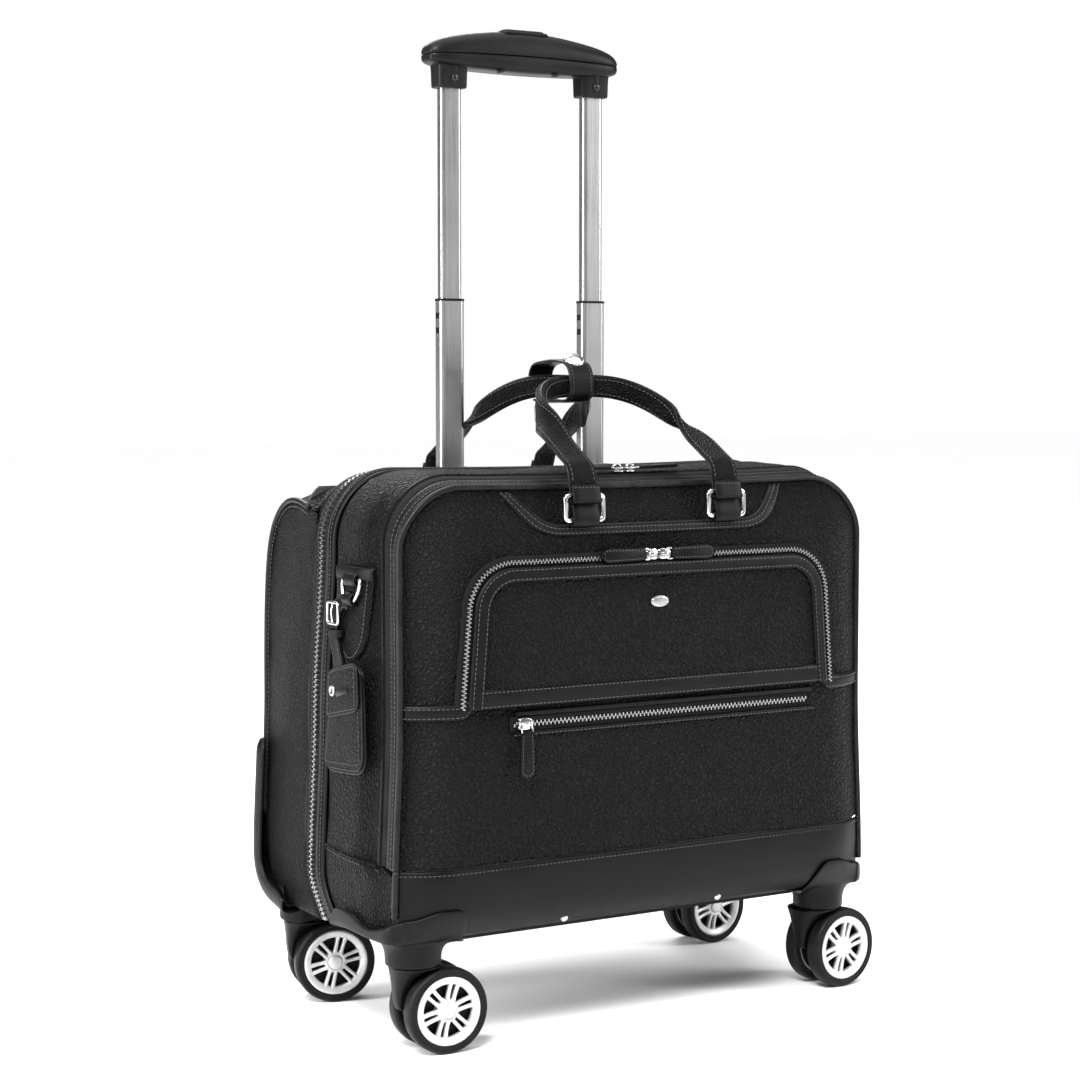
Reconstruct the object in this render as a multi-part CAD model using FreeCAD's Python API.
"""Rolling laptop case: a soft case on four twin-wheel casters with a telescopic trolley handle.

Frame: X across the case (right is +X), Y from the front (-Y) to the back (+Y), Z up.
The floor is Z = 0. X = 0 and Y = 0 lie midway between the four caster swivel axes.
All sizes are in millimetres.
"""
import FreeCAD, Part
import math
import os

V = FreeCAD.Vector
OUT_DIR = "parts"

# ---- driving dimensions -------------------------------------------------------------
CASE_HALF_W = 196.0          # half width of the soft case
CASE_BOTTOM = 77.0           # lowest leather
CASE_TOP = 396.0
CORNER_R = 48.0              # upper corners, seen from the front
FOOT_R = 16.0                # lower corners, seen from the front
SKIN = 3.0                   # leather, foam and lining together

FRONT_EDGE_Y = -101.0        # plane of the front piping
FRONT_BULGE = 18.0           # the filled front stands this far proud of the piping
LID_BACK_Y = -80.3           # back edge of the front panel's return
MID_FRONT_Y = -77.0          # front edge of the laptop section
MID_BACK_Y = 12.0            # back edge of the laptop section
REAR_FRONT_Y = 26.0          # front edge of the rear section
REAR_BACK_Y = 107.0
SEAM_Z = 131.0               # seam between the front panel and the bottom band
LID_GAP = 0.6                # gap over the seam that the front panel turns on
LID_HINGE_Y = FRONT_EDGE_Y - FRONT_BULGE

BACK_RECESS = 0.3            # how far the back is pressed in under what is fastened on it
GUARD_IN_X = 182.0           # inner edge of the rear corner guards
GUARD_TOP_Z = 195.0
WING_IN_X = 145.0            # inner edge of the caster housings' wings
WING_TOP_Z = 100.0

CHASSIS_T = 3.0
CHASSIS_TOP = CASE_BOTTOM - 0.3

SWIVEL_X = 172.0
SWIVEL_Y = 83.0
WHEEL_R = 30.0
RIM_R = 24.0
WHEEL_W = 12.5
WHEEL_INNER = 5.75           # inner face of each wheel from the caster's middle
TRAIL = 16.4                 # wheel axis behind the swivel axis
BOSS_BOTTOM = 61.8
STEM_R = 5.0
AXLE_R = 3.0
RUN_CLEAR = 0.2              # radial clearance of pins that turn in bores
CASTERS = {                  # x side, y side, angle of the trail from +X in degrees
    "front_left": (-1, -1, -3.6),
    "front_right": (1, -1, 5.4),
    "rear_left": (-1, 1, -14.0),
    "rear_right": (1, 1, 4.4),
}

TUBE_X = 62.5
TUBE_Y = 62.0
OUTER_TUBE = (23.6, 14.6, 4.5)       # width, depth, corner radius
MIDDLE_TUBE = (20.6, 11.6, 3.6)
UPPER_TUBE = (17.6, 8.8, 3.0)
TUBE_WALL = 1.0
OUTER_TUBE_Z = (84.0, 394.0)
MIDDLE_TUBE_Z = (215.0, 519.0)
UPPER_TUBE_Z = (378.0, 690.0)
COLLAR_T = 1.7

GRIP_HALF_W = 82.7
GRIP_DEPTH = 27.0
GRIP_SPLIT_Z = 700.0
GRIP_TOP_Z = 721.0
SOCKET_Z = 676.0
SOCKET_W = 30.0
BUTTON_W = 37.0
BUTTON_DEPTH = 13.0
BUTTON_TRAVEL = 4.0

FRONT_PIVOT = (-121.3, 380.0)        # y, z of the bar that the front handle turns on
FRONT_KNEE = (-116.5, 401.0)         # y, z where its strap bends back
FRONT_TOP = (-24.0, 456.0)           # y, z of the middle of the front handle's grip
REAR_PIVOT = (111.5, 388.0)
REAR_KNEE = (105.0, 402.0)
REAR_TOP = (14.0, 456.0)
STRAP_TOP_W = 15.0
FRONT_LEG_X = 60.0
REAR_LEG_X = 54.0
STRAP_T = 5.0
BAR_R = 1.5

POCKET_HALF_W = 158.0
POCKET_BOTTOM = 233.0
POCKET_TOP = 338.0
POCKET_T = 5.0
LOW_ZIP_Z = 227.0
LOW_ZIP_X = (-120.0, 136.0)
LOW_SLIDER_X = -108.0
PANEL_FACE_Y = FRONT_EDGE_Y - FRONT_BULGE


# ---- small helpers ------------------------------------------------------------------
def block(x, y, z):
    """Box from three (low, high) pairs."""
    return Part.makeBox(x[1] - x[0], y[1] - y[0], z[1] - z[0], V(x[0], y[0], z[0]))


def rod(start, direction, radius, length):
    return Part.makeCylinder(radius, length, V(*start), V(*direction))


def ring(start, direction, outer, inner, length):
    return rod(start, direction, outer, length).cut(rod(start, direction, inner, length))


def polygon(points):
    return Part.makePolygon([V(*p) for p in points] + [V(*points[0])])


def extrude(wire, direction):
    return Part.Face(wire).extrude(V(*direction))


def corner_outline(half_w, low, high, r_high, r_low):
    """Rounded outline in the XZ plane at Y = 0."""
    c = math.cos(math.pi / 4)
    edges = []
    corners = [(1, high, r_high, 45), (-1, high, r_high, 135), (-1, low, r_low, 225), (1, low, r_low, 315)]
    ends = []
    for side, level, radius, _ in corners:
        up = 1 if level == high else -1
        cx, cz = side * (half_w - radius), level - up * radius
        on_side = V(side * half_w, 0, cz)
        on_level = V(cx, 0, level)
        mid = V(cx + side * radius * c, 0, cz + up * radius * c)
        first, last = (on_side, on_level) if side * up > 0 else (on_level, on_side)
        ends.append((first, last))
        edges.append(Part.Arc(first, mid, last).toShape())
    for i in range(4):
        edges.append(Part.makeLine(ends[i][1], ends[(i + 1) % 4][0]))
    return Part.Wire(Part.__sortEdges__(edges))


def case_prism(y, inset=0.0, low=CASE_BOTTOM, high=CASE_TOP, r_high=CORNER_R, r_low=FOOT_R):
    """Solid with the case's front outline, drawn in by inset, from y[0] to y[1]."""
    wire = corner_outline(CASE_HALF_W - inset, low + inset, high - inset, r_high - inset, max(r_low - inset, 2))
    wire.translate(V(0, y[0], 0))
    return extrude(wire, (0, y[1] - y[0], 0))


def case_ring(y, outer_inset, inner_inset):
    return case_prism(y, outer_inset).cut(case_prism((y[0] - 1, y[1] + 1), inner_inset))


def rounded_bar(width, depth, radius, z):
    """Upright bar of rounded rectangular section, centred on the Z axis."""
    bar = block((-width / 2, width / 2), (-depth / 2, depth / 2), z)
    upright = [e for e in bar.Edges if abs(e.Vertexes[0].Z - e.Vertexes[-1].Z) > 0.5 * (z[1] - z[0])]
    return bar.makeFillet(radius, upright)


def tube(section, z):
    width, depth, radius = section
    outer = rounded_bar(width, depth, radius, z)
    inner = rounded_bar(width - 2 * TUBE_WALL, depth - 2 * TUBE_WALL, radius - TUBE_WALL, z)
    return outer.cut(inner)


def pair_at(shape, x, y):
    """Two copies of a shape drawn at the origin, at -x and +x."""
    copies = []
    for side in (-1, 1):
        copy = shape.copy()
        copy.translate(V(side * x, y, 0))
        copies.append(copy)
    return Part.makeCompound(copies)


def turned(shape, y, z, degrees):
    """Turn a shape about a line parallel to X through (y, z)."""
    out = shape.copy()
    out.rotate(V(0, y, z), V(1, 0, 0), degrees)
    return out


def save(name, shape):
    shape.exportStep(os.path.join(OUT_DIR, name + ".step"))


# ---- soft case ----------------------------------------------------------------------
def middle_shell():
    """Laptop section: a tray open to the front, with a low tub that reaches the front band."""
    upper = case_prism((MID_FRONT_Y, MID_BACK_Y))
    low_tub = case_prism((FRONT_EDGE_Y + SKIN, MID_FRONT_Y)).cut(
        block((-300, 300), (-200, 0), (SEAM_Z - 0.3, 500)))
    hollow = case_prism((FRONT_EDGE_Y, MID_BACK_Y - SKIN), SKIN)
    return upper.fuse(low_tub).cut(hollow)


def rear_profile(inset, front_y):
    """Side profile of the rear section in the YZ plane: rounded at the back, top and bottom."""
    low_r, high_r = 42.0 - inset, 26.0 - inset
    back = REAR_BACK_Y - inset
    low, high = CASE_BOTTOM + inset, CASE_TOP - 4.0 - inset
    c = math.cos(math.pi / 4)
    a, b = V(0, back - low_r, low), V(0, back, low + low_r)
    ab = V(0, back - low_r + low_r * c, low + low_r - low_r * c)
    d, e = V(0, back, high - high_r), V(0, back - high_r, high)
    de = V(0, back - high_r + high_r * c, high - high_r + high_r * c)
    front_low, front_high = V(0, front_y, low), V(0, front_y, high)
    edges = [
        Part.makeLine(front_low, a),
        Part.Arc(a, ab, b).toShape(),
        Part.makeLine(b, d),
        Part.Arc(d, de, e).toShape(),
        Part.makeLine(e, front_high),
        Part.makeLine(front_high, front_low),
    ]
    return Part.Wire(edges)


def rear_solid(inset, front_y):
    wire = rear_profile(inset, front_y)
    wire.translate(V(-CASE_HALF_W + inset + 1, 0, 0))
    body = extrude(wire, (2 * (CASE_HALF_W - inset - 1), 0, 0))
    return body.common(case_prism((front_y, REAR_BACK_Y + 5), inset, r_high=36.0))


def rear_shell():
    """Rear section: a tray open to the front, with slots for the trolley tubes in its top.

    The leather is pressed in a little under the corner guards, the housings and the handle's loops.
    """
    shell = rear_solid(0, REAR_FRONT_Y).cut(rear_solid(SKIN, REAR_FRONT_Y - 5))
    width, depth, radius = OUTER_TUBE
    slot = rounded_bar(width + 0.6, depth + 0.6, radius, (CASE_TOP - 30, CASE_TOP + 10))
    shell = shell.cut(pair_at(slot, TUBE_X, TUBE_Y))
    sunk = (REAR_BACK_Y - BACK_RECESS, REAR_BACK_Y + 1)
    for side in (-1, 1):
        guard_x = sorted((side * (GUARD_IN_X - 0.5), side * (CASE_HALF_W + 1)))
        wing_x = sorted((side * (WING_IN_X - 0.5), side * (CASE_HALF_W + 1)))
        chape_x = (side * REAR_LEG_X - 9.5, side * REAR_LEG_X + 9.5)
        shell = shell.cut(block(guard_x, sunk, (70, GUARD_TOP_Z + 0.5)))
        shell = shell.cut(block(wing_x, sunk, (70, WING_TOP_Z + 0.5)))
        shell = shell.cut(block(chape_x, sunk, (REAR_PIVOT[1] - 23.5, 400)))
    return shell


def crown_loft(inset, y_shift):
    """Pillow-shaped solid between outlines that draw in as they rise off the panel."""
    low = SEAM_Z + LID_GAP + inset
    wires = []
    for step, rise in ((0.0, 0.0), (9.0, 0.62), (26.0, 0.93), (48.0, 1.0)):
        high = CASE_TOP - inset - step * 0.75
        wire = corner_outline(CASE_HALF_W - inset - step, low, high, max(CORNER_R - inset - step * 0.4, 8), 1.0)
        wire.translate(V(0, FRONT_EDGE_Y - rise * FRONT_BULGE + y_shift, 0))
        wires.append(wire)
    return Part.makeLoft(wires, True, True)


def front_panel():
    """Front panel: a crowned face with a return all round, open to the back."""
    low = SEAM_Z + LID_GAP
    tray = case_ring((FRONT_EDGE_Y, LID_BACK_Y), 0.0, SKIN)
    lid = tray.cut(block((-300, 300), (-200, 0), (0, low)))
    crown = crown_loft(0.0, 0.0)
    hollow = crown_loft(SKIN + 0.5, SKIN)
    neck = case_prism((FRONT_EDGE_Y + SKIN - 0.1, LID_BACK_Y), SKIN, low=low + 0.5)
    return lid.fuse(crown).cut(hollow).cut(neck)


def bottom_band():
    """Smooth leather band under the front panel; it swells out and turns under."""
    profile = [
        (0, FRONT_EDGE_Y + SKIN - 0.2, SEAM_Z), (0, LID_HINGE_Y + 0.5, SEAM_Z), (0, LID_HINGE_Y + 1.5, 112),
        (0, FRONT_EDGE_Y - 8, 92), (0, FRONT_EDGE_Y + 4, 80), (0, FRONT_EDGE_Y + 14, CASE_BOTTOM),
        (0, FRONT_EDGE_Y + 14.5, CASE_BOTTOM + 2), (0, FRONT_EDGE_Y + SKIN - 0.2, CASE_BOTTOM + 12),
    ]
    wire = polygon(profile)
    half = CASE_HALF_W - 52.5
    wire.translate(V(-half, 0, 0))
    swell = extrude(wire, (2 * half, 0, 0))
    ends = case_prism((FRONT_EDGE_Y, FRONT_EDGE_Y + SKIN - 0.2)).cut(
        block((-300, 300), (-200, 0), (SEAM_Z, 500)))
    band = swell.fuse(ends)
    return band.cut(middle_shell())


def piping(y, radius, r_high):
    """Round piping that follows the case's outline from one lower corner over the top to the other."""
    band = case_ring((y - radius, y + radius), -0.6, 1.9)
    if r_high != CORNER_R:
        band = case_prism((y - radius, y + radius), -0.6, r_high=r_high).cut(
            case_prism((y - radius - 1, y + radius + 1), 1.9, r_high=r_high))
    return band


def panel_piping():
    bead = piping(FRONT_EDGE_Y - 2.2, 2.0, CORNER_R)
    return bead.cut(block((-300, 300), (-200, 0), (0, SEAM_Z + LID_GAP))).cut(front_panel())


def shell_piping():
    """Bead beside the long zip, and the beads round the rear section's side panels."""
    beside_zip = case_ring((MID_BACK_Y - 15.0, MID_BACK_Y - 11.5), -1.2, 0.0)
    beside_zip = beside_zip.cut(block((-300, 300), (-200, 200), (0, 100)))
    beads = [beside_zip]
    for side in (-1, 1):
        outer = rear_profile(-0.8, REAR_FRONT_Y + 1)
        inner = rear_profile(2.0, REAR_FRONT_Y)
        x = side * (CASE_HALF_W + 0.2) - (0 if side < 0 else 2.4)
        outer.translate(V(x, 0, 0))
        inner.translate(V(x - 1, 0, 0))
        bead = extrude(outer, (2.4, 0, 0)).cut(extrude(inner, (5, 0, 0)))
        bead = bead.cut(block((-300, 300), (0, 200), (0, 196))).cut(block((-300, 300), (0, 200), (352, 500)))
        bead = bead.cut(block((-300, 300), (REAR_BACK_Y, 200), (0, 500)))
        beads.append(bead.cut(rear_solid(0, REAR_FRONT_Y)))
    return Part.makeCompound(beads)


def zip_tapes():
    """Cloth tapes of the two long zips: one between the sections, one behind the front panel."""
    long_tape = case_ring((MID_BACK_Y, REAR_FRONT_Y), 1.5, 3.0)
    coil = case_ring((MID_FRONT_Y - 2.6, MID_FRONT_Y), 0.4, 2.8)
    coil = coil.cut(block((-300, 300), (-200, 0), (0, SEAM_Z + LID_GAP)))
    return Part.makeCompound([long_tape, coil])


def main_zip_teeth():
    mid = (MID_BACK_Y + REAR_FRONT_Y) / 2
    return case_ring((mid - 2.5, mid + 2.5), 0.2, 1.5)


def chassis_plate():
    low = CHASSIS_TOP - CHASSIS_T
    plate = block((-CASE_HALF_W + 14, CASE_HALF_W - 14), (FRONT_EDGE_Y + 18, REAR_BACK_Y - 40), (low, CHASSIS_TOP))
    for side in (-1, 1):
        for end in (-1, 1):
            plate = plate.cut(rod((side * SWIVEL_X, end * SWIVEL_Y, low - 1), (0, 0, 1), 21.0, 9))
    return plate


def back_board():
    """Stiff board inside the rear section, in front of the trolley tubes."""
    board = block((-CASE_HALF_W + 8, CASE_HALF_W - 8), (48.2, 50.7), (CASE_BOTTOM + SKIN + 0.5, CASE_TOP - 12))
    return board.common(rear_solid(SKIN + 3, REAR_FRONT_Y))


def laptop_divider():
    """Padded divider that holds the laptop against the back of the front section."""
    pad = case_prism((-52.0, -44.0), 26.0).cut(block((-300, 300), (-200, 0), (330, 500)))
    foot = block((-170, 170), (-50, -46), (CASE_BOTTOM + SKIN, CASE_BOTTOM + 30))
    return pad.fuse(foot)


# ---- trolley handle -----------------------------------------------------------------
def outer_tubes():
    width, depth, radius = OUTER_TUBE
    sleeve = tube((width, depth, radius), OUTER_TUBE_Z)
    return pair_at(sleeve, TUBE_X, TUBE_Y)


def tube_bezels():
    """Moulded frames on the case's top that the trolley tubes come out of."""
    width, depth, _ = OUTER_TUBE
    low = CASE_TOP - 3.7
    frame = rounded_bar(width + 12, depth + 10, 6.0, (low, low + 2.4))
    hole = rounded_bar(MIDDLE_TUBE[0] + 0.8, MIDDLE_TUBE[1] + 0.8, 3.9, (low - 1, low + 4))
    seat = rounded_bar(width + 0.2, depth + 0.2, 4.6, (low - 1, OUTER_TUBE_Z[1]))
    return pair_at(frame.cut(hole).cut(seat), TUBE_X, TUBE_Y)


def tube_foot():
    """Cross bracket that ties the feet of the two fixed tubes to the chassis."""
    bar = block((-TUBE_X - 22, TUBE_X + 22), (TUBE_Y - 11, TUBE_Y + 11), (81.2, 83.8))
    cup = rounded_bar(OUTER_TUBE[0] + 6, OUTER_TUBE[1] + 6, 5.0, (83.0, 96.0))
    well = rounded_bar(OUTER_TUBE[0] + 0.1, OUTER_TUBE[1] + 0.1, OUTER_TUBE[2], (83.8, 97.0))
    return bar.fuse(pair_at(cup, TUBE_X, TUBE_Y)).cut(pair_at(well, TUBE_X, TUBE_Y))


def middle_tubes():
    stage = tube(MIDDLE_TUBE, MIDDLE_TUBE_Z)
    return pair_at(stage, TUBE_X, TUBE_Y)


def tube_collars():
    """Thin rings that close the top of the middle tubes, and their lock windows."""
    top = MIDDLE_TUBE_Z[1]
    collar = rounded_bar(MIDDLE_TUBE[0] + 0.8, MIDDLE_TUBE[1] + 0.8, 3.9, (top, top + COLLAR_T))
    collar = collar.cut(rounded_bar(UPPER_TUBE[0] + 0.5, UPPER_TUBE[1] + 0.5, 3.2, (top - 1, top + 3)))
    pieces = [pair_at(collar, TUBE_X, TUBE_Y)]
    for level in (505.8, 494.8):
        window = block((-MIDDLE_TUBE[0] / 2 - 0.3, -MIDDLE_TUBE[0] / 2), (-2.2, 2.2), (level, level + 4.5))
        pieces.append(pair_at(window, TUBE_X, TUBE_Y))
    return Part.makeCompound(pieces)


def upper_tubes():
    stage = tube(UPPER_TUBE, UPPER_TUBE_Z)
    return pair_at(stage, TUBE_X, TUBE_Y)


def grip_blank():
    """Whole grip without its socket bores, drawn at the origin in plan."""
    half_d = GRIP_DEPTH / 2
    ends = GRIP_HALF_W
    top_edges = [
        Part.Arc(V(-ends, 0, GRIP_SPLIT_Z + 4), V(-ends + 4, 0, GRIP_SPLIT_Z + 12), V(-ends + 16, 0, 717.0)).toShape(),
        Part.Arc(V(-ends + 16, 0, 717.0), V(0, 0, GRIP_TOP_Z), V(ends - 16, 0, 717.0)).toShape(),
        Part.Arc(V(ends - 16, 0, 717.0), V(ends - 4, 0, GRIP_SPLIT_Z + 12), V(ends, 0, GRIP_SPLIT_Z + 4)).toShape(),
    ]
    inner = TUBE_X - SOCKET_W / 2
    outer = TUBE_X + SOCKET_W / 2
    low_edges = [
        Part.makeLine(V(ends, 0, GRIP_SPLIT_Z + 4), V(ends, 0, 694)),
        Part.makeLine(V(ends, 0, 694), V(outer, 0, 690)),
        Part.makeLine(V(outer, 0, 690), V(outer, 0, SOCKET_Z)),
        Part.makeLine(V(outer, 0, SOCKET_Z), V(inner, 0, SOCKET_Z)),
        Part.makeLine(V(inner, 0, SOCKET_Z), V(inner, 0, 692)),
        Part.Arc(V(inner, 0, 692), V(0, 0, 689), V(-inner, 0, 692)).toShape(),
        Part.makeLine(V(-inner, 0, 692), V(-inner, 0, SOCKET_Z)),
        Part.makeLine(V(-inner, 0, SOCKET_Z), V(-outer, 0, SOCKET_Z)),
        Part.makeLine(V(-outer, 0, SOCKET_Z), V(-outer, 0, 690)),
        Part.makeLine(V(-outer, 0, 690), V(-ends, 0, 694)),
        Part.makeLine(V(-ends, 0, 694), V(-ends, 0, GRIP_SPLIT_Z + 4)),
    ]
    wire = Part.Wire(top_edges + low_edges)
    wire.translate(V(0, -half_d, 0))
    solid = extrude(wire, (0, GRIP_DEPTH, 0))
    section = Part.Wire([
        Part.makeLine(V(0, -half_d, 670), V(0, -half_d, GRIP_TOP_Z - 13)),
        Part.Arc(V(0, -half_d, GRIP_TOP_Z - 13), V(0, 0, GRIP_TOP_Z + 1.5), V(0, half_d, GRIP_TOP_Z - 13)).toShape(),
        Part.makeLine(V(0, half_d, GRIP_TOP_Z - 13), V(0, half_d, 670)),
        Part.makeLine(V(0, half_d, 670), V(0, -half_d, 670)),
    ])
    section.translate(V(-100, 0, 0))
    return solid.common(extrude(section, (200, 0, 0)))


def grip_half(upper):
    blank = grip_blank()
    if upper:
        half = blank.cut(block((-200, 200), (-50, 50), (600, GRIP_SPLIT_Z)))
        slot = rounded_bar(BUTTON_W + 0.8, BUTTON_DEPTH + 0.8, 5.0, (706, 730))
        half = half.cut(slot)
    else:
        half = blank.cut(block((-200, 200), (-50, 50), (GRIP_SPLIT_Z, 800)))
        bore = rounded_bar(UPPER_TUBE[0], UPPER_TUBE[1], UPPER_TUBE[2], (600, UPPER_TUBE_Z[1]))
        half = half.cut(pair_at(bore, TUBE_X, 0))
    half.translate(V(0, TUBE_Y, 0))
    return half


def grip_button():
    low = 706.0 + BUTTON_TRAVEL + 0.6
    button = rounded_bar(BUTTON_W, BUTTON_DEPTH, 4.6, (low, GRIP_TOP_Z + 2.0))
    button = button.makeFillet(1.6, [e for e in button.Edges if e.BoundBox.ZMin > GRIP_TOP_Z + 1.9])
    button.translate(V(0, TUBE_Y, 0))
    return button


def button_spring():
    """Return spring under the button, drawn as the sleeve that its coils fill."""
    low, high = 706.05, 706.0 + BUTTON_TRAVEL + 0.55
    return ring((0, TUBE_Y, low), (0, 0, 1), 3.6, 2.4, high - low)


def grip_screws():
    """One cross-head screw in the front of each socket, through to the tube."""
    pieces = []
    for side in (-1, 1):
        face = TUBE_Y - GRIP_DEPTH / 2
        head = rod((side * TUBE_X, face - 0.4, 683.5), (0, 1, 0), 2.2, 0.4)
        cross = block((side * TUBE_X - 1.4, side * TUBE_X + 1.4), (face - 0.5, face - 0.2), (683.2, 683.8))
        pieces.append(head.cut(cross))
    return Part.makeCompound(pieces)


# ---- carry handles ------------------------------------------------------------------
def arch(foot_x, shoulder_x, leg_w, top_w, height):
    """Flat strap arch that stands on Z = 0 in the XZ plane, with its thickness about Y = 0."""
    bend = height * 0.5
    diag = 0.72

    def sides(foot, shoulder, crown):
        mid_x, mid_z = shoulder * diag, bend + (crown - bend) * diag
        left = Part.Arc(V(-shoulder, 0, bend), V(-mid_x, 0, mid_z), V(0, 0, crown))
        right = Part.Arc(V(0, 0, crown), V(mid_x, 0, mid_z), V(shoulder, 0, bend))
        legs = [Part.makeLine(V(-foot, 0, 0), V(-shoulder, 0, bend)), Part.makeLine(V(shoulder, 0, bend), V(foot, 0, 0))]
        return legs + [left.toShape(), right.toShape()]

    outer = sides(foot_x + leg_w / 2, shoulder_x + leg_w / 2, height + top_w / 2)
    inner = sides(foot_x - leg_w / 2, shoulder_x - leg_w / 2, height - top_w / 2)
    feet = []
    for side in (-1, 1):
        feet.append(Part.makeLine(V(side * (foot_x + leg_w / 2), 0, 0), V(side * (foot_x - leg_w / 2), 0, 0)))
    wire = Part.Wire(Part.__sortEdges__(outer + inner + feet))
    wire.translate(V(0, -STRAP_T / 2, 0))
    return extrude(wire, (0, STRAP_T, 0))


def lean(low, high):
    """Degrees about +X that turn an upright shape on the low (y, z) point towards the high one."""
    return -math.degrees(math.atan2(high[0] - low[0], high[1] - low[1]))


def distance(low, high):
    return math.hypot(high[0] - low[0], high[1] - low[1])


def carry_handle(pivot, knee, top, foot_x, shoulder_x, leg_w):
    """Strap that loops round its ring bars, rises to the knee and leans over in an arch to the top."""
    strap = arch(foot_x, shoulder_x, leg_w, STRAP_TOP_W, distance(knee, top))
    strap.rotate(V(0, 0, 0), V(1, 0, 0), lean(knee, top))
    strap.translate(V(0, *knee))
    for side in (-1, 1):
        edge = side * foot_x - leg_w / 2
        leg = block((edge, edge + leg_w), (-STRAP_T / 2, STRAP_T / 2), (0, distance(pivot, knee)))
        leg.rotate(V(0, 0, 0), V(1, 0, 0), lean(pivot, knee))
        leg.translate(V(0, *pivot))
        strap = strap.fuse(leg)
        strap = strap.fuse(rod((edge, *knee), (1, 0, 0), STRAP_T / 2, leg_w))
        strap = strap.fuse(rod((edge, *pivot), (1, 0, 0), 4.2, leg_w))
        strap = strap.cut(rod((edge - 1, *pivot), (1, 0, 0), BAR_R + 0.35, leg_w + 2))
    return strap


def front_handle():
    return carry_handle(FRONT_PIVOT, FRONT_KNEE, FRONT_TOP, FRONT_LEG_X, FRONT_LEG_X - 2, 22.0)


def rear_handle():
    return carry_handle(REAR_PIVOT, REAR_KNEE, REAR_TOP, REAR_LEG_X, 36.0, 18.0)


def handle_wrap():
    """Leather wrap on the front handle that reaches over and under the rear handle, open to the back."""
    y_front, y_back = FRONT_TOP[0] - 13.0, REAR_TOP[0] + 12.0
    low, high = 438.5, 475.5
    shell = block((-11, 11), (y_front, y_back), (low, high))
    hollow = block((-12, 12), (y_front + 2.2, y_back + 1), (low + 2.2, high - 2.2))
    wrap = shell.cut(hollow)
    web = block((-11, 11), (y_front + 2.0, y_front + 6.0), (low + 8, high - 8))
    return wrap.fuse(web).cut(front_handle())


def wrap_snap():
    y = REAR_TOP[0] - 16.0
    cap = rod((0, y, 475.5), (0, 0, 1), 7.5, 2.2)
    return cap.makeFillet(1.2, [e for e in cap.Edges if e.BoundBox.ZMin > 477.6])


def handle_ring(leg_w):
    """Square metal ring drawn about its top bar, which lies on the X axis; it hangs down 18 mm."""
    half = leg_w / 2 + 3.0
    drop = 17.0
    bars = [
        rod((-half, 0, 0), (1, 0, 0), BAR_R, 2 * half),
        rod((-half, 0, -drop), (1, 0, 0), BAR_R, 2 * half),
        rod((-half, 0, -drop), (0, 0, 1), BAR_R, drop),
        rod((half, 0, -drop), (0, 0, 1), BAR_R, drop),
    ]
    shape = bars[0]
    for bar in bars[1:]:
        shape = shape.fuse(bar)
    for x in (-half, half):
        for z in (0, -drop):
            shape = shape.fuse(Part.makeSphere(BAR_R, V(x, 0, z)))
    return shape


def front_handle_rings():
    shape = handle_ring(22.0)
    pieces = []
    for side in (-1, 1):
        copy = shape.copy()
        copy.translate(V(side * FRONT_LEG_X, FRONT_PIVOT[0], FRONT_PIVOT[1]))
        pieces.append(copy)
    return Part.makeCompound(pieces)


def front_chapes():
    """Leather loops that hold the lower bar of each front ring to the panel."""
    pieces = []
    y, z = FRONT_PIVOT[0], FRONT_PIVOT[1] - 17.0
    for side in (-1, 1):
        tab = block((side * FRONT_LEG_X - 11, side * FRONT_LEG_X + 11), (y - 2.7, y + 3.2), (z - 4, z + 8))
        tab = tab.cut(rod((side * FRONT_LEG_X - 20, y, z), (1, 0, 0), BAR_R + 0.02, 40))
        pieces.append(tab)
    return Part.makeCompound(pieces).cut(front_panel())


def rear_handle_rings():
    """Rings that the rear handle turns on, at the top of the back."""
    pieces = []
    for side in (-1, 1):
        shape = handle_ring(18.0)
        shape.translate(V(side * REAR_LEG_X, REAR_PIVOT[0], REAR_PIVOT[1]))
        pieces.append(shape)
    return Part.makeCompound(pieces)


def rear_chapes():
    """Leather loops that hold the lower bar of each rear ring to the back."""
    pieces = []
    y, z = REAR_PIVOT[0], REAR_PIVOT[1] - 17.0
    for side in (-1, 1):
        tab = block((side * REAR_LEG_X - 9, side * REAR_LEG_X + 9), (y - 4.6, y + 2.7), (z - 6, z + 9))
        tab = tab.cut(rod((side * REAR_LEG_X - 20, y, z), (1, 0, 0), BAR_R + 0.02, 40))
        pieces.append(tab)
    return Part.makeCompound(pieces).cut(rear_shell())


# ---- front pockets and zips ---------------------------------------------------------
def arc_pocket():
    """Zipped pocket on the front panel, drawn as the flat pad that it makes when it is empty."""
    face = PANEL_FACE_Y - 0.05
    back = corner_outline(POCKET_HALF_W, POCKET_BOTTOM, POCKET_TOP, 34.0, 3.0)
    back.translate(V(0, face, 0))
    front = corner_outline(POCKET_HALF_W - 9, POCKET_BOTTOM + 3, POCKET_TOP - 9, 27.0, 2.0)
    front.translate(V(0, face - POCKET_T, 0))
    pad = Part.makeLoft([back, front], True, True)
    return pad.cut(front_panel())


def pocket_zips():
    """Teeth of the arched pocket's zip and of the straight zip under it."""
    face = PANEL_FACE_Y - 0.05
    outer = corner_outline(POCKET_HALF_W + 5.0, POCKET_BOTTOM, POCKET_TOP + 4.0, 38.0, 2.0)
    inner = corner_outline(POCKET_HALF_W + 0.5, POCKET_BOTTOM - 4, POCKET_TOP + 0.4, 34.4, 2.0)
    outer.translate(V(0, face - 1.6, 0))
    inner.translate(V(0, face - 3, 0))
    arched = extrude(outer, (0, 1.6, 0)).cut(extrude(inner, (0, 5, 0)))
    straight = block(LOW_ZIP_X, (face - 1.4, face), (LOW_ZIP_Z - 2.4, LOW_ZIP_Z + 2.4))
    return Part.makeCompound([arched, straight])


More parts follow.
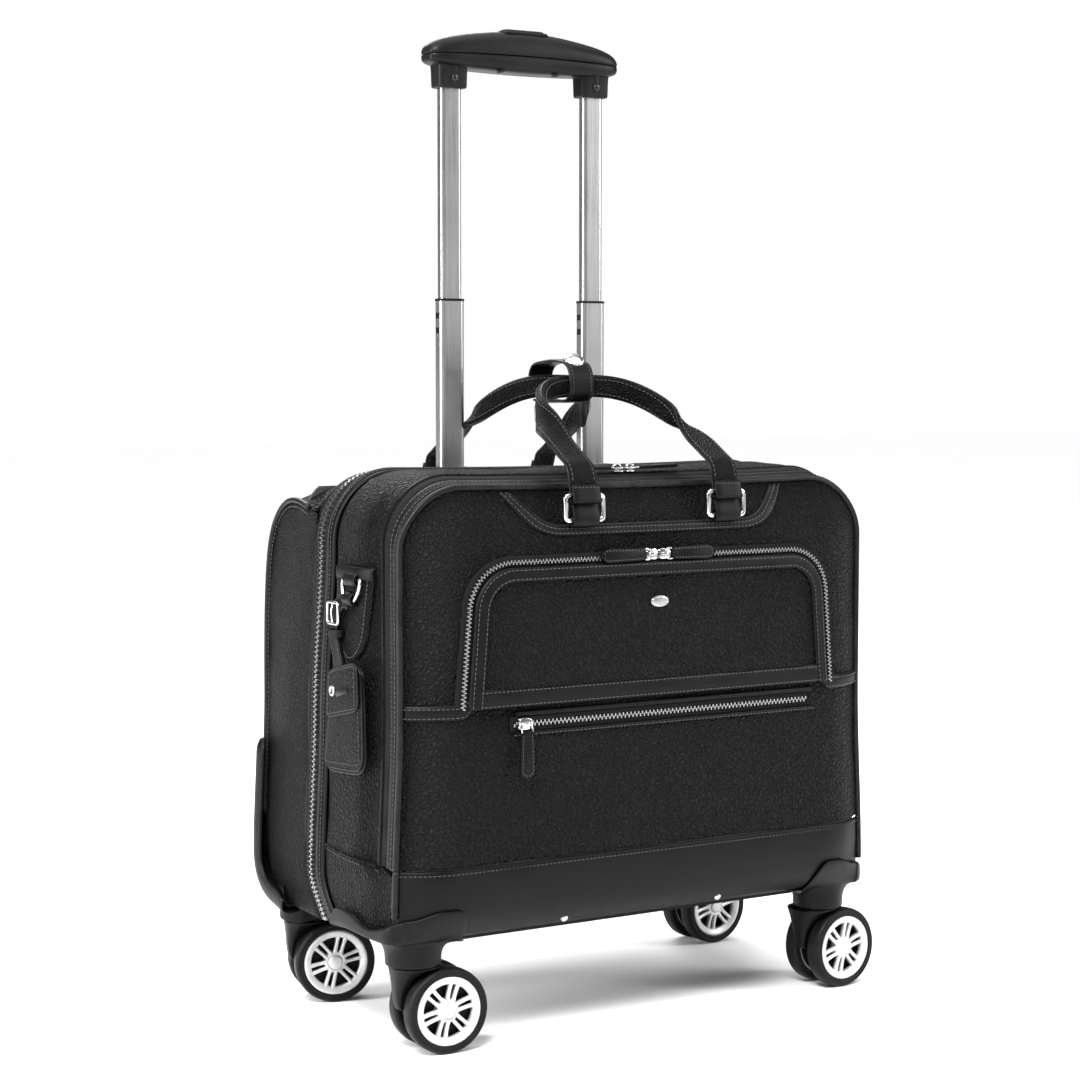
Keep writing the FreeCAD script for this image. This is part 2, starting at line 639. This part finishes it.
def emblem():
    """Plain metal badge: a small blank lozenge."""
    face = PANEL_FACE_Y - 0.05 - POCKET_T
    wire = polygon([(-9, face - 1.0, 306), (0, face - 1.0, 300), (9, face - 1.0, 306), (0, face - 1.0, 312)])
    return extrude(wire, (0, 0.95, 0))


def slider_with_pull(x, y, z, reach_x):
    """Slider on a zip that faces -Y, with a ring and a leather tab that lies along X."""
    body = block((x - 4.5, x + 4.5), (y - 3.6, y), (z - 4.2, z + 4.2))
    side = 1 if reach_x > 0 else -1
    tab = block(sorted((x + side * 6.0, x + reach_x)), (y - 3.4, y - 1.2), (z - 5.2, z + 5.2))
    link = block(sorted((x, x + side * 7.0)), (y - 4.6, y - 3.0), (z - 2.2, z + 2.2))
    return body.fuse(link).fuse(tab)


def arc_slider(side):
    y = PANEL_FACE_Y - 0.05 - 1.6 - 0.3
    return slider_with_pull(side * 5.5, y, POCKET_TOP + 2.2, side * 44.0)


def top_slider(side):
    """Slider on the coil zip along the case's top; its tab lies along X."""
    z = CASE_TOP + 0.9
    y = MID_FRONT_Y - 1.6
    x = side * 5.5
    body = block((x - 4.5, x + 4.5), (y - 4.2, y + 4.2), (z, z + 3.4))
    link = block(sorted((x, x + side * 7.0)), (y - 2.2, y + 2.2), (z + 2.8, z + 4.4))
    tab = block(sorted((x + side * 6.0, x + side * 44.0)), (y - 5.2, y + 5.2), (z + 1.0, z + 3.2))
    return body.fuse(link).fuse(tab)


def low_slider():
    y = PANEL_FACE_Y - 0.05 - 1.4 - 0.3
    return block((LOW_SLIDER_X - 6, LOW_SLIDER_X + 6), (y - 3.0, y), (LOW_ZIP_Z - 4.2, LOW_ZIP_Z + 4.2))


def low_pull():
    """Ring and leather tab that hang from the lower zip's slider."""
    y = PANEL_FACE_Y - 5.3
    ring_part = block((LOW_SLIDER_X - 3.5, LOW_SLIDER_X + 3.5), (y - 1.6, y), (LOW_ZIP_Z - 9, LOW_ZIP_Z + 0.8))
    tab = block((LOW_SLIDER_X - 6, LOW_SLIDER_X + 6), (y - 2.0, y + 0.6), (LOW_ZIP_Z - 39, LOW_ZIP_Z - 8))
    return ring_part.fuse(tab)


def main_slider():
    """Slider of the long zip, parked low on the right side, with its hanging pull."""
    x = CASE_HALF_W + 0.2
    y = (MID_BACK_Y + REAR_FRONT_Y) / 2
    body = block((x, x + 3.8), (y - 4.8, y + 4.8), (128, 140))
    tab = block((x + 3.0, x + 5.0), (y - 5.5, y + 5.5), (96, 130))
    return body.fuse(tab)


# ---- tag and side fittings ----------------------------------------------------------
def d_ring_tabs():
    """Leather patches on both sides that hold the D rings."""
    pieces = []
    for side in (-1, 1):
        x = side * CASE_HALF_W
        xs = sorted((x + side * 0.1, x + side * 2.4))
        profile = [(0, -60, 328), (0, -12, 328), (0, -14, 300), (0, -26, 272), (0, -46, 272), (0, -58, 300)]
        wire = polygon(profile)
        wire.translate(V(xs[0], 0, 0))
        pieces.append(extrude(wire, (xs[1] - xs[0], 0, 0)))
    return Part.makeCompound(pieces)


def d_rings():
    pieces = []
    for side in (-1, 1):
        x = side * (CASE_HALF_W + 2.5 + 2.0)
        bar = rod((x, -51, 324), (0, 1, 0), 1.4, 30)
        bow = Part.makeTorus(15.0, 1.4, V(x, -36, 324), V(1, 0, 0))
        bow = bow.cut(block((-300, 300), (-100, 100), (324, 400)))
        pieces.append(bar.fuse(bow))
    return Part.makeCompound(pieces)


def tag_strap():
    """Buckled strap that loops through the left D ring and carries the tag."""
    x0, x1 = -CASE_HALF_W - 9.8, -CASE_HALF_W - 7.0
    profile = [(0, -44, 316), (0, -34, 316), (0, -18, 304), (0, -17, 270), (0, -27, 262), (0, -30, 290)]
    wire = polygon(profile)
    wire.translate(V(x0, 0, 0))
    return extrude(wire, (x1 - x0, 0, 0))


def luggage_tag():
    x0, x1 = -CASE_HALF_W - 10.5, -CASE_HALF_W - 6.4
    profile = [(0, -52, 262), (0, -20, 261.5), (0, -1, 189), (0, -63, 193)]
    wire = polygon(profile)
    wire.translate(V(x0, 0, 0))
    return extrude(wire, (x1 - x0, 0, 0))


# ---- casters ------------------------------------------------------------------------
def wheel_housing(side, end):
    """Moulded corner shoe: two wings that hug the case's corner, a sole, and the caster's boss."""
    def span(a, b):
        return sorted((side * a, side * b))

    def depth(a, b):
        return sorted((end * a, end * b))

    face = -FRONT_EDGE_Y if end < 0 else REAR_BACK_Y
    wing_y = (face + 0.3, face + 3.5)
    wing_len = 90.0 if end < 0 else 52.0
    sole_low = CHASSIS_TOP - CHASSIS_T - 3.4
    sole_high = CHASSIS_TOP - CHASSIS_T - 0.1
    front_wing = block(span(WING_IN_X, CASE_HALF_W + 3.5), depth(*wing_y), (sole_low, WING_TOP_Z))
    side_wing = block(span(CASE_HALF_W + 0.5, CASE_HALF_W + 3.5), depth(face + 3.5 - wing_len, face + 3.5),
                      (sole_low, 88.0))
    sole = block(span(WING_IN_X, CASE_HALF_W + 3.5), depth(face - 48.0, face + 3.5), (sole_low, sole_high))
    x, y = side * SWIVEL_X, end * SWIVEL_Y
    flare = Part.makeCone(19.6, 24.0, sole_high - BOSS_BOTTOM, V(x, y, BOSS_BOTTOM))
    core = rod((x, y, sole_high - 1), (0, 0, 1), 20.0, 3.4)
    shoe = front_wing.fuse(side_wing).fuse(sole).fuse(flare).fuse(core)
    recess = rod((x, y, BOSS_BOTTOM - 1), (0, 0, 1), 14.6, 6.4)
    bore = rod((x, y, BOSS_BOTTOM - 1), (0, 0, 1), STEM_R + RUN_CLEAR, 13.2)
    return shoe.cut(recess).cut(bore)


def caster_at(shape, name):
    """Place a caster piece drawn about the swivel axis with its trail along +X."""
    side, end, angle = CASTERS[name]
    out = shape.copy()
    out.rotate(V(0, 0, 0), V(0, 0, 1), angle)
    out.translate(V(side * SWIVEL_X, end * SWIVEL_Y, 0))
    return out


def caster_fork():
    """Single-arm fork: stem, crown and a tapered web that carries the axle between the wheels."""
    stem = rod((0, 0, BOSS_BOTTOM + 4), (0, 0, 1), STEM_R, 7.6)
    crown = rod((0, 0, WHEEL_R * 2 + 0.9), (0, 0, 1), 14.2, 6.0)
    half = WHEEL_INNER - 0.9
    outline = [(-9, 0, 62), (12, 0, 62), (TRAIL + 7, 0, WHEEL_R + 4), (TRAIL + 6, 0, WHEEL_R - 6),
               (TRAIL - 5, 0, WHEEL_R - 6), (-7, 0, 48)]
    wire = polygon(outline)
    wire.translate(V(0, -half, 0))
    web = extrude(wire, (0, 2 * half, 0))
    hub = rod((TRAIL, -half, WHEEL_R), (0, 1, 0), 8.0, 2 * half)
    fork = stem.fuse(crown).fuse(web).fuse(hub)
    return fork.cut(rod((TRAIL, -20, WHEEL_R), (0, 1, 0), AXLE_R + RUN_CLEAR, 40))


def tyre(side):
    """One tyre of the twin wheel; side is -1 for the outer wheel and +1 for the inner one."""
    start = WHEEL_INNER if side > 0 else -WHEEL_INNER - WHEEL_W
    tread = ring((TRAIL, start, WHEEL_R), (0, 1, 0), WHEEL_R, RIM_R, WHEEL_W)
    rims = [e for e in tread.Edges if e.Curve.TypeId == "Part::GeomCircle" and e.Curve.Radius > WHEEL_R - 0.1]
    return tread.makeFillet(2.4, rims)


def rim(side):
    """Spoked rim: an outer hoop, a hub and six pairs of spokes."""
    out_face = side * (WHEEL_INNER + WHEEL_W - 1.4)
    in_face = side * (WHEEL_INNER + 0.2)
    low, high = sorted((out_face, in_face))
    spoke_low, spoke_high = sorted((out_face - side * 0.8, out_face - side * 4.6))
    hoop = ring((0, low, 0), (0, 1, 0), RIM_R, RIM_R - 2.4, high - low)
    hub = rod((0, low, 0), (0, 1, 0), 6.0, high - low)
    cap = rod((0, min(out_face, out_face + side * 1.0), 0), (0, 1, 0), 5.0, 1.0)
    wheel = hoop.fuse(hub).fuse(cap)
    for i in range(6):
        for offset in (-3.1, 3.1):
            spoke = block((4.0, RIM_R - 1.5), (spoke_low, spoke_high), (offset - 1.0, offset + 1.0))
            spoke.rotate(V(0, 0, 0), V(0, 1, 0), 60.0 * i)
            wheel = wheel.fuse(spoke)
    web = rod((0, min(in_face, in_face + side * 1.2), 0), (0, 1, 0), RIM_R - 1.0, 1.2)
    wheel = wheel.fuse(web)
    wheel.translate(V(TRAIL, 0, WHEEL_R))
    return wheel


def wheel_hubs():
    """Both rims and the axle that they are pressed on, which turns in the fork."""
    axle = rod((TRAIL, -WHEEL_INNER - 9, WHEEL_R), (0, 1, 0), AXLE_R, 2 * WHEEL_INNER + 18)
    return rim(-1).fuse(axle).fuse(rim(1))


def wheel_tyres():
    return Part.makeCompound([tyre(-1), tyre(1)])


def corner_guards():
    """Moulded strips up the two rear edges of the case, above the rear housings."""
    pieces = []
    for side in (-1, 1):
        outer = block(sorted((side * GUARD_IN_X, side * (CASE_HALF_W + 2.6))),
                      (REAR_BACK_Y - 11, REAR_BACK_Y + 4.0), (WING_TOP_Z + 0.6, GUARD_TOP_Z))
        inner = block(sorted((side * (CASE_HALF_W - 20), side * (CASE_HALF_W + 0.4))),
                      (REAR_BACK_Y - 30, REAR_BACK_Y + 0.5), (90, 210))
        pieces.append(outer.cut(inner))
    return Part.makeCompound(pieces)


def base_screws():
    """Screws that hold the soles to the chassis, and the two studs in the front band."""
    pieces = []
    for side in (-1, 1):
        for end in (-1, 1):
            for y in (62.0, 100.5):
                low = CHASSIS_TOP - CHASSIS_T - 3.4
                pieces.append(rod((side * 149.5, end * y, low - 1.2), (0, 0, 1), 3.0, 1.2))
        pieces.append(rod((side * 66.0, FRONT_EDGE_Y - 10.6, 89.6), (0, 0.76, 0.65), 2.6, 1.0))
    return Part.makeCompound(pieces)


def build():
    os.makedirs(OUT_DIR, exist_ok=True)
    nodes = {
        "middle_shell": middle_shell(),
        "rear_shell": rear_shell(),
        "front_panel": front_panel(),
        "bottom_band": bottom_band(),
        "panel_piping": panel_piping(),
        "shell_piping": shell_piping(),
        "zip_tapes": zip_tapes(),
        "main_zip_teeth": main_zip_teeth(),
        "chassis_plate": chassis_plate(),
        "back_board": back_board(),
        "laptop_divider": laptop_divider(),
        "outer_tubes": outer_tubes(),
        "tube_bezels": tube_bezels(),
        "tube_foot": tube_foot(),
        "middle_tubes": middle_tubes(),
        "tube_collars": tube_collars(),
        "upper_tubes": upper_tubes(),
        "grip_upper": grip_half(True),
        "grip_lower": grip_half(False),
        "grip_button": grip_button(),
        "button_spring": button_spring(),
        "grip_screws": grip_screws(),
        "front_handle": front_handle(),
        "rear_handle": rear_handle(),
        "handle_wrap": handle_wrap(),
        "wrap_snap": wrap_snap(),
        "front_handle_rings": front_handle_rings(),
        "front_chapes": front_chapes(),
        "case_rings": Part.makeCompound([rear_handle_rings(), d_rings()]),
        "case_tabs": Part.makeCompound([rear_chapes(), d_ring_tabs()]),
        "arc_pocket": arc_pocket(),
        "pocket_zips": pocket_zips(),
        "emblem": emblem(),
        "arc_slider_left": arc_slider(-1),
        "arc_slider_right": arc_slider(1),
        "top_slider_left": top_slider(-1),
        "top_slider_right": top_slider(1),
        "low_slider": low_slider(),
        "low_pull": low_pull(),
        "main_slider": main_slider(),
        "tag_strap": tag_strap(),
        "luggage_tag": luggage_tag(),
        "corner_guards": corner_guards(),
        "base_screws": base_screws(),
    }
    for name, (side, end, _) in CASTERS.items():
        nodes["housing_" + name] = wheel_housing(side, end)
        nodes["fork_" + name] = caster_at(caster_fork(), name)
        nodes["hubs_" + name] = caster_at(wheel_hubs(), name)
        nodes["tyres_" + name] = caster_at(wheel_tyres(), name)
    for name, shape in nodes.items():
        if not shape.isValid():
            print("NOT VALID", name)
        print(f"{name:22s} solids {len(shape.Solids)} volume {shape.Volume / 1000:9.2f} cm3")
        save(name, shape)
    print(len(nodes), "nodes")


build()
